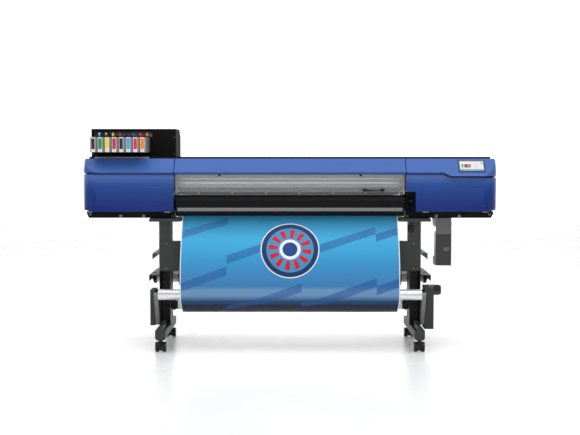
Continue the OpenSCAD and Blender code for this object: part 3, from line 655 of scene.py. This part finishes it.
def make_web(name, path, offset, total, ripple):
    """A strip of media along a (y, z) path, printed on its outer side.

    The UV map runs across the web and along its whole length; offset is where the strip starts.
    """
    bm = bmesh.new()
    uv = bm.loops.layers.uv.new("print")
    places, run = [], 0.0
    for i, p in enumerate(path):
        if i:
            run += (p - path[i - 1]).length
        along = (path[min(i + 1, len(path) - 1)] - path[max(i - 1, 0)]).normalized()
        places.append((p, Vector((-along.y, along.x)), (offset + run) / total))
    sides = []
    for lift in (0.0, WEB_THICK):
        rows = []
        for p, normal, v in places:
            row = []
            for k in range(WEB_COLUMNS + 1):
                u = k / WEB_COLUMNS
                x = (2 * u - 1) * WEB_HALF
                near_edge = abs(2 * u - 1) ** 6
                wave = ripple * (math.sin(9.0 * v * total + 5.0 * x) * near_edge
                                 + 0.4 * math.sin(3.1 * x + 2.0))
                at = p + normal * (lift + wave)
                row.append((bm.verts.new((x, at.x, at.y)), (u, v)))
            rows.append(row)
        sides.append(rows)

    def quad(corners, material):
        face = bm.faces.new([vert for vert, place in corners])
        face.material_index = material
        for loop, (vert, place) in zip(face.loops, corners):
            loop[uv].uv = place

    for material, rows in enumerate(sides):
        for a, b in zip(rows, rows[1:]):
            for k in range(WEB_COLUMNS):
                quad((a[k], a[k + 1], b[k + 1], b[k]), material)
    outer, inner = sides
    for i in range(len(places) - 1):
        for k in (0, WEB_COLUMNS):
            quad((outer[i][k], outer[i + 1][k], inner[i + 1][k], inner[i][k]), 1)
    for i in (0, -1):
        for k in range(WEB_COLUMNS):
            quad((outer[i][k], outer[i][k + 1], inner[i][k + 1], inner[i][k]), 1)
    obj = to_object(name, bm, ["print", "media_back"], 50.0)
    return obj


# Lengths in metres: the print starts below the platen's edge, and the web is white well before it.
PRINT_START, BLANK_BEFORE, WHITE_MARGIN = 0.07, -0.14, 0.006
# print tones down the web, with a painted sheen band from 0.635 to 0.675 and painted shade from
# 0.726 on, where the web turns under towards the take-up roll
PRINT_TONES_SHEEN_SHADE = [(0.0, (70, 159, 203)), (0.10, (44, 142, 190)), (0.22, (59, 170, 220)),
               (0.31, (57, 162, 214)), (0.41, (56, 149, 204)), (0.51, (60, 138, 195)),
               (0.60, (58, 128, 184)), (0.635, (108, 150, 192)), (0.675, (106, 146, 188)),
               (0.726, (8, 69, 116)), (0.80, (4, 20, 52)), (1.0, (4, 20, 52))]
BAND_SLANT, BAND_CELL, BAND_STEP, BAND_PITCH, BAND_HALF = 0.36, 0.52, 0.16, 0.19, 0.03
BADGE_DOWN = 0.27
BADGE_OUTER = [(0.205, (226, 232, 238)), (0.197, (22, 54, 104)), (0.165, (60, 146, 196))]
BADGE_RAYS = (0.085, 0.15, 12.0)        # inner and outer radius, and count
BADGE_INNER = [(0.074, (236, 240, 244)), (0.052, (28, 70, 140))]


def printed_media(total, start):
    """Printed sheet: a blue ground with a painted sheen band and painted shade towards its lower
    end, slanted bands and a plain ring badge, white at the edges.

    start is the length along the web at which the hanging print begins.
    """
    g = Graph("printed_media")
    place = g.split(g.node("ShaderNodeUVMap", uv_map="print").outputs["UV"])
    across = g.math("MULTIPLY_ADD", place["X"], 2 * WEB_HALF, -WEB_HALF)
    along = g.math("MULTIPLY_ADD", place["Y"], total, -start)
    # the ramp holds the print's blue together with its painted sheen and painted shade
    ground_sheen_shade = g.ramp(g.fit(along, 0.0, 1.0, 0.0, total - start), PRINT_TONES_SHEEN_SHADE)
    # slanted bands: a darker tone inside some stripes of a skewed coordinate, shifted cell by cell
    skew = g.math("MULTIPLY_ADD", across, BAND_SLANT, along)
    cell = g.math("MULTIPLY", g.math("SNAP", g.math("ADD", across, 2.0), BAND_CELL), 7.3)
    shifted = g.math("ADD", skew, g.math("MULTIPLY", g.math("SINE", cell), BAND_STEP))
    wave = g.math("PINGPONG", g.math("ADD", shifted, 3.0), BAND_PITCH)
    band = g.math("LESS_THAN", wave, BAND_HALF)
    strength = g.fit(g.math("SINE", g.math("MULTIPLY", cell, 1.7)), 0.25, 0.7, -1.0, 1.0)
    printed = g.mix(g.math("MULTIPLY", band, strength), ground_sheen_shade, linear((30, 84, 152)))
    # badge: rings round a centre, with a ring of red rays between them
    down = g.math("ADD", along, -BADGE_DOWN)
    radius = g.math("SQRT", g.math("ADD", g.math("MULTIPLY", across, across),
                                   g.math("MULTIPLY", down, down)))
    for limit, rgb in BADGE_OUTER:
        printed = g.mix(g.math("LESS_THAN", radius, limit), printed, linear(rgb))
    near, far, count = BADGE_RAYS
    spin = g.math("SINE", g.math("MULTIPLY", g.math("ARCTAN2", down, across), count))
    rays = g.math("MULTIPLY", g.math("LESS_THAN", radius, far), g.math("GREATER_THAN", spin, 0.0))
    rays = g.math("MULTIPLY", rays, g.math("GREATER_THAN", radius, near))
    printed = g.mix(rays, printed, linear((206, 30, 50)))
    for limit, rgb in BADGE_INNER:
        printed = g.mix(g.math("LESS_THAN", radius, limit), printed, linear(rgb))
    # unprinted margins and the unprinted start of the web
    margin = g.math("GREATER_THAN", g.math("ABSOLUTE", across), WEB_HALF - WHITE_MARGIN)
    printed = g.mix(margin, printed, linear((240, 240, 240)))
    before = g.math("LESS_THAN", along, BLANK_BEFORE)
    printed = g.mix(before, printed, linear((238, 238, 236)))
    g.link(printed, g.shader.inputs["Base Color"])
    tooth = g.noise(g.coordinates(), 900.0, 2.0)
    g.link(g.fit(tooth, 0.40, 0.48), g.shader.inputs["Roughness"])
    g.bump(tooth, 0.01)
    g.set(Specular_IOR_Level=0.22)
    return g.material


def make_media():
    """The web in three lengths: over the platen, down to the dancer roller, and to the take-up."""
    whole = spline(ROUTE["rear"][:-1] + ROUTE["hang"][:-1] + ROUTE["under"], SPAN_STEPS)
    total = length_of(whole)
    paths, starts, place, run = {}, {}, 0, 0.0
    for name, points in ROUTE.items():
        end = place + (len(points) - 1) * SPAN_STEPS
        paths[name] = whole[place: end + 1]
        starts[name] = run
        run += length_of(paths[name])
        place = end
    MAT["print"] = printed_media(total, starts["hang"] + PRINT_START)
    made = {name: make_web("media_" + name, paths[name], starts[name], total,
                           0.0 if name == "rear" else WEB_RIPPLE) for name in paths}
    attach(made["rear"], "machine")
    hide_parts("media_web")
    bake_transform(made["hang"])
    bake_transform(made["under"])


# ---------- stand details ----------

def make_screws():
    """Screws on the stay and the feet."""
    stay_low, stay_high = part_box("stay_panel")
    foot_low, foot_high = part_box("feet")
    z = foot_low.z + 34 * MM
    bm = bmesh.new()
    for side in (-1, 1):
        x = side * (stay_high.x - 51 * MM)
        for height in (stay_low.z + 17 * MM, stay_high.z - 17 * MM):
            add_screw(bm, (x, stay_low.y, height), FRONT, 4)
        for y in (foot_high.y - 60 * MM, foot_high.y - 110 * MM):
            add_screw(bm, (side * (foot_high.x - 72 * MM), y, z), -X * side, 3.5)
        for y in (foot_low.y + 30 * MM, foot_low.y + 250 * MM):
            add_screw(bm, (side * foot_high.x, y, z), X * side, 3.5)
    piece("stand_screws", bm, "zinc", "machine")


# ---------- trims ----------

TRIM_THICK, TRIM_BOTTOM, TRIM_TOP = 2.5 * MM, 3.5 * MM, 18 * MM
# The trim follows the front covers: flat in front, then round the outer corner. The corner's
# centre is 115 mm in from the end and 100 mm before the axis.
TRIM_CORNER, TRIM_CENTRE_Y = 115 * MM, -100 * MM
TRIM_RADIUS, TRIM_REACH = 111.5 * MM, 96 * MM
# On the right the seam steps down below the touch panel.
STEP_START, STEP_LENGTH, STEP_DROP = 246 * MM, 70 * MM, 24 * MM


def add_ribbon(bm, path, low, high, thick):
    """An upright ribbon along an (x, y) path; low and high give its edges' heights for an x."""
    points = [Vector(p) for p in path]
    rings = []
    for i, p in enumerate(points):
        along = (points[min(i + 1, len(points) - 1)] - points[max(i - 1, 0)]).normalized()
        inner = p + Vector((-along.y, along.x)) * thick
        rings.append([bm.verts.new(c) for c in ((p.x, p.y, low(p.x)), (p.x, p.y, high(p.x)),
                                                (inner.x, inner.y, high(p.x)),
                                                (inner.x, inner.y, low(p.x)))])
    join_rings(bm, rings)


def ease(t):
    t = min(1.0, max(0.0, t))
    return t * t * (3.0 - 2.0 * t)


def make_seam_shade_strips():
    """Dark blue strips that close the seams over the front covers, round the outer corners; their
    dark blue is painted shade in the seams.
    """
    for side, name in ((-1, "left"), (1, "right")):
        low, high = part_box(name + "_front_cover")
        start = low.x if side > 0 else -high.x
        end = high.x if side > 0 else -low.x
        step = start + STEP_START
        corner_x, front_y = end - TRIM_CORNER, TRIM_CENTRE_Y - TRIM_REACH
        turn = math.asin(TRIM_REACH / TRIM_RADIUS)
        path = [(start + 10 * MM, front_y)]
        path += [(step + 5 * i * MM, front_y) for i in range(15)]
        for i in range(13):
            angle = -turn * (1.0 - i / 12.0)
            path.append((corner_x + TRIM_RADIUS * math.cos(angle),
                         TRIM_CENTRE_Y + TRIM_RADIUS * math.sin(angle)))
        path.append((corner_x + TRIM_RADIUS, TRIM_CENTRE_Y + 30 * MM))

        def seam(x, side=side, step=step, top=high.z):
            return top - (STEP_DROP * ease((x - step) / STEP_LENGTH) if side > 0 else 0.0)

        bm = bmesh.new()
        add_ribbon(bm, [(side * x, y) for x, y in path], lambda x: seam(x) + TRIM_BOTTOM,
                   lambda x: seam(x) + TRIM_TOP, TRIM_THICK * side)
        piece("seam_shade_strip_" + name, bm, "navy", "machine")


def make_rail_trim():
    """Rounded bands along the guide rail's face, a skirt below it, and a row of screws."""
    low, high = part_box("guide_rail")
    ends = (low.x + 2 * MM, high.x - 2 * MM)
    for name, z0, z1, rise, material in (
            ("upper", high.z - 24 * MM, high.z - 6 * MM, 1.6 * MM, "shine"),
            ("middle", low.z + 36 * MM, low.z + 72 * MM, 2.2 * MM, "shine"),
            ("lower", low.z + 1 * MM, low.z + 17 * MM, 1.4 * MM, "film")):
        section = [(low.y - rise * (1.0 - t * t), (z0 + z1) / 2.0 + (z1 - z0) / 2.0 * t)
                   for t in (-1.0 + i / 6.0 for i in range(13))]
        section += [(low.y + 1 * MM, z1), (low.y + 1 * MM, z0)]
        bm = bmesh.new()
        join_rings(bm, [[bm.verts.new((x, y, z)) for y, z in section] for x in ends])
        piece("rail_band_" + name, bm, material, "machine", crease=50.0)
    bm = bmesh.new()
    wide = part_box("platen")[1].x
    for i in range(5):
        left, right = wide * (2 * i - 5) / 5.0, wide * (2 * i - 3) / 5.0
        add_block(bm, (left + 0.4 * MM, low.y - 1.4 * MM, low.z - 27 * MM),
                  (right - 0.4 * MM, low.y + 0.2 * MM, low.z + 1 * MM), 0.5 * MM)
    piece("rail_skirt", bm, "strip", "machine")
    bm = bmesh.new()
    count = 14
    for i in range(count):
        x = low.x + (high.x - low.x) * (i + 0.5) / count
        add_screw(bm, (x, low.y - 1.4 * MM, high.z - 15 * MM), FRONT, 2)
    piece("rail_screws", bm, "steel", "machine")


def make_rack_edge_highlight():
    """Light grey strip with dividing marks under the ink trays, a painted highlight along the
    roof's front edge, and the rack's cover screws.
    """
    low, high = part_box("ink_box")
    first, last = middle("ink_tray_1").x, middle("ink_tray_8").x
    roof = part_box("roof_cover")[0].y
    face = roof - 1.5 * MM
    z = high.z - 207 * MM
    # light grey painted highlight along the roof's front edge
    bm = bmesh.new()
    add_block(bm, (first - 20 * MM, face, z - 6 * MM),
              (last + 22 * MM, roof + 0.5 * MM, z + 5 * MM), 0.5 * MM)
    for i in range(1, 9):
        x = first + (last - first) * (i - 0.5) / 7.0
        add_tag(bm, (x, face, z - 0.5 * MM), (2.5, 9), 0.2, 0, 1)
    piece("rack_edge_highlight", bm, ["light_grey", "deep_black"], "machine")
    bm = bmesh.new()
    for x in (low.x + 12 * MM, high.x - 12 * MM):
        for z in (low.z + 20 * MM, high.z - 60 * MM):
            add_screw(bm, (x, low.y, z), FRONT, 3)
    piece("rack_screws", bm, "zinc", "machine")


def make_tray_knobs():
    """Grey levelling knobs and bright clips on the base trays."""
    low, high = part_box("base_trays")
    bm = bmesh.new()
    for side in (-1, 1):
        for inward in (406, 243):
            add_turned(bm, [(0, 7), (2, 11), (8, 12), (10, 10)],
                       (side * (high.x - inward * MM), low.y + 0.5 * MM, low.z + 14 * MM),
                       FRONT, 0, 24)
        x = side * (high.x - 611 * MM)
        add_block(bm, (x - 7 * MM, low.y - 3 * MM, low.z + 6 * MM),
                  (x + 7 * MM, low.y + 4 * MM, low.z + 18 * MM), 0.5 * MM, 1)
        x = side * (high.x - 24 * MM)
        add_block(bm, (x - 9 * MM, low.y - 2 * MM, low.z + 20 * MM),
                  (x + 9 * MM, low.y + 2 * MM, low.z + 30 * MM), 0.5 * MM, 1)
    piece("tray_knobs", bm, ["tray", "zinc"], "machine")


def make_switch_box():
    """Small sensor box on the right leg, with a clipped lead that goes up to the body."""
    low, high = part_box("legs")
    x, y, z = high.x - 140 * MM, low.y + 30 * MM, high.z - 96 * MM
    bm = bmesh.new()
    add_block(bm, (x - 16 * MM, y - 22 * MM, z + 4 * MM), (x + 16 * MM, y + 1 * MM, z + 43 * MM),
              2 * MM)
    add_block(bm, (x - 19 * MM, y - 9 * MM, z), (x + 19 * MM, y + 1 * MM, z + 47 * MM), 1 * MM)
    for height in (10 * MM, 37 * MM):
        add_screw(bm, (x, y - 22 * MM, z + height), FRONT, 2.5, 1)
    add_turned(bm, [(0, 5), (6, 5), (7, 4), (12, 3.6)], (x, y - 12 * MM, z + 42 * MM), Z, 0, 20)
    piece("switch_box", bm, ["black_plastic", "zinc"], "machine")
    bm = bmesh.new()
    steps, radius = 12, 2.6 * MM
    turns = [2 * math.pi * k / steps for k in range(steps)]
    rings = []
    for right, back, height in ((0, -12, 47), (1, -13, 59), (4, -15, 70)):
        at = Vector((x + right * MM, y + back * MM, z + height * MM))
        rings.append([bm.verts.new(at + Vector((radius * math.cos(a), radius * math.sin(a), 0)))
                      for a in turns])
    join_rings(bm, rings)
    piece("switch_lead", bm, "rubber", "machine")


def make_pipe_clamps():
    """Black clamps with hand knobs that hold the rear pipes in the arms beside the legs."""
    low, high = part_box("roll_pipes")
    z = (low.z + high.z) / 2.0
    y = low.y + 33 * MM
    for side, name in ((-1, "left"), (1, "right")):
        bm = bmesh.new()
        for inward in (76 * MM, 14 * MM):
            x = side * (high.x - inward)
            left, right = x - 11 * MM, x + 11 * MM
            add_turned(bm, [(0, 38), (1, 40), (20, 40), (21, 38)], (left, y, z), X, 0, 40)
            add_block(bm, (left, y - 56 * MM, z - 15 * MM), (right, y - 34 * MM, z + 15 * MM),
                      1.5 * MM)
            add_turned(bm, [(0, 5), (8, 5), (8.5, 11), (20, 12), (22, 9)],
                       (x, y - 55 * MM, z), FRONT, 0, 24)
        piece("pipe_clamp_" + name, bm, "deep_black", "machine")


def make_end_rings():
    """Rings on the ends of the dancer roller."""
    low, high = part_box("dancer_pipe")
    at = middle("dancer_pipe")
    bm = bmesh.new()
    for side in (-1, 1):
        add_turned(bm, [(0, 36.9), (0.8, 36.9), (1.6, 34), (1.6, 12), (0.4, 11), (0.4, 9)],
                   (side * (high.x - 0.4 * MM), at.y, at.z), X * side, 0, 48)
    piece("dancer_end_rings", bm, "light_grey", "dancer_roller")


def make_caster_caps():
    """Hub caps on the wheels and a brake pedal on each front caster."""
    for name in ("front_left", "front_right", "rear_left", "rear_right"):
        low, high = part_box("wheels_" + name)
        hub = (low + high) / 2.0
        bm = bmesh.new()
        for turn, face in ((-1, low.x), (1, high.x)):
            add_turned(bm, [(-0.6, 24), (0, 24), (0.6, 22.5), (0.6, 12), (-0.1, 11), (0.8, 8)],
                       (face, hub.y, hub.z), X * turn, 0, 36)
        piece("hub_caps_" + name, bm, "caster", "wheels_" + name)
        if not name.startswith("front"):
            continue
        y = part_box("caster_" + name)[0].y - 4 * MM
        bm = bmesh.new()
        add_block(bm, (hub.x - 10 * MM, y, high.z - 2 * MM),
                  (hub.x + 10 * MM, y + 20 * MM, high.z + 2 * MM), 1.2 * MM)
        add_block(bm, (hub.x - 8 * MM, y, high.z - 7 * MM), (hub.x + 8 * MM, y + 3 * MM, high.z),
                  1 * MM)
        piece("brake_pedal_" + name, bm, "caster", "caster_" + name)


def make_drain_plate():
    """Dark lower skirt on the waste bottle's holder, with a small pale plate and screws."""
    low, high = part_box("drain_holder")
    x, face = (low.x + high.x) / 2, low.y - 0.8 * MM
    bm = bmesh.new()
    add_tag(bm, (x, low.y, low.z + 113 * MM), ((high.x - low.x) / MM - 2, 222), 0.8, 2, 0)
    add_tag(bm, (x + 20 * MM, face, low.z + 118 * MM), (38, 26), 0.3, 2, 1)
    for x in (low.x + 9 * MM, high.x - 9 * MM):
        add_screw(bm, (x, low.y, high.z - 12 * MM), FRONT, 3, 2)
        add_screw(bm, (x, face, low.z + 12 * MM), FRONT, 3, 2)
    piece("drain_skirt", bm, ["holder_dark", "holder", "zinc"], "machine")


OUTLET_HALF = 0.84                  # half the width of the opening for the media in the back


def make_rear_details():
    """Screws of the rear cover, the end panels and the roof, and a plain plate by the inlet."""
    low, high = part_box("rear_cover")
    face = max(v.co.y for v in frame["nodes"]["roof_cover"].data.vertices) + 3 * MM
    first, last = low.x + 26 * MM, high.x - 26 * MM
    bm = bmesh.new()
    for i in range(10):
        x = first + (last - first) * i / 9.0
        add_screw(bm, (x, face, high.z - 16 * MM), Y)
        add_screw(bm, (x, face, low.z + (16 if abs(x) > OUTLET_HALF else 150) * MM), Y)
    piece("rear_screws", bm, "zinc", "machine")
    x, z = high.x - 258 * MM, low.z + 92 * MM
    bm = bmesh.new()
    add_plate(bm, (x, face, z), -X, Z, (70, 44), 0.4, 3, 0)
    for row in (10, 1, -8):
        add_plate(bm, (x, face + 0.4 * MM, z + row * MM), -X, Z, (52, 2), 0.1, 0, 1)
    piece("rear_plate", bm, ["light_grey", "tray"], "machine")
    low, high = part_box("end_panels")
    bm = bmesh.new()
    for side in (-1, 1):
        for y, z in ((low.y + 20 * MM, low.z + 20 * MM), (high.y - 20 * MM, low.z + 20 * MM),
                     (low.y + 44 * MM, high.z - 20 * MM), (high.y - 20 * MM, high.z - 20 * MM)):
            add_screw(bm, (side * high.x, y, z), X * side)
    piece("end_screws", bm, "zinc", "machine")
    low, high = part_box("roof_cover")
    first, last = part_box("ink_box")[1].x + 64 * MM, high.x - 90 * MM
    bm = bmesh.new()
    for i in range(8):
        for y in (low.y + 14 * MM, high.y - 14 * MM):
            add_screw(bm, (first + (last - first) * i / 7.0, y, high.z), Z, 3)
    piece("roof_screws", bm, "zinc", "machine")


# ---------- studio ----------

FLOOR_SIDE, FLOOR_FRONT, FLOOR_BACK, WALL_TOP = 40, -30, 14, 24
WORLD = 0.28
LIGHTS = [                          # name, place, target, size, watts
    ("top", (0.0, -0.6, 5.2), (0, 0.1, 0.0), (9.0, 6.0), 340.0),
    ("strip", (0.0, -6.0, 4.6), (0, 0, 1.1), (8.0, 0.8), 55.0),
    ("fill", (0.0, -7.8, 1.1), (0, 0, 0.8), (7.0, 1.6), 62.0),
]


def stage_plane(name, near, far, material):
    """A flat piece of the studio, from the (y, z) of its nearer and farther edges."""
    mesh = bpy.data.meshes.new(name)
    mesh.from_pydata([(-FLOOR_SIDE, *near), (FLOOR_SIDE, *near), (FLOOR_SIDE, *far),
                      (-FLOOR_SIDE, *far)], [], [(0, 1, 2, 3)])
    mesh.materials.append(material)
    obj = bpy.data.objects.new(name, mesh)
    bpy.context.scene.collection.objects.link(obj)


def make_studio():
    """A white floor and a white wall of light behind, with soft light from above and in front."""
    g = Graph("floor_paint")
    slow = g.noise(g.coordinates(), 0.8, 2.0)
    g.link(g.mix(g.fit(slow, 0.0, 1.0), linear((247, 247, 247)), linear((251, 251, 251))),
           g.shader.inputs["Base Color"])
    g.link(g.fit(slow, 0.22, 0.3), g.shader.inputs["Roughness"])
    g.set(Specular_IOR_Level=0.25)
    stage_plane("floor", (FLOOR_FRONT, 0), (FLOOR_BACK, 0), g.material)
    stage_plane("backdrop", (FLOOR_BACK, 0), (FLOOR_BACK, WALL_TOP),
                glow("backdrop_light", (255, 255, 255), 1.0))
    world = bpy.data.worlds.new("studio")
    bpy.context.scene.world = world
    world.use_nodes = True
    background = world.node_tree.nodes["Background"]
    background.inputs["Color"].default_value = (1.0, 1.0, 1.0, 1.0)
    background.inputs["Strength"].default_value = WORLD
    for name, place, target, size, power in LIGHTS:
        light = bpy.data.lights.new(name, "AREA")
        light.shape = "RECTANGLE"
        light.size, light.size_y = size
        light.energy = power
        lamp = bpy.data.objects.new(name, light)
        lamp.location = place
        lamp.rotation_euler = (Vector(target) - Vector(place)).to_track_quat("-Z", "Y").to_euler()
        bpy.context.scene.collection.objects.link(lamp)
    bpy.context.scene.view_settings.view_transform = "Standard"


make_tray_labels()
make_tray_lights()
make_display()
make_latch_tabs()
make_window_scale()
make_media()
make_screws()
make_seam_shade_strips()
make_rail_trim()
make_rack_edge_highlight()
make_tray_knobs()
make_switch_box()
make_pipe_clamps()
make_end_rings()
make_caster_caps()
make_drain_plate()
make_rear_details()
make_studio()
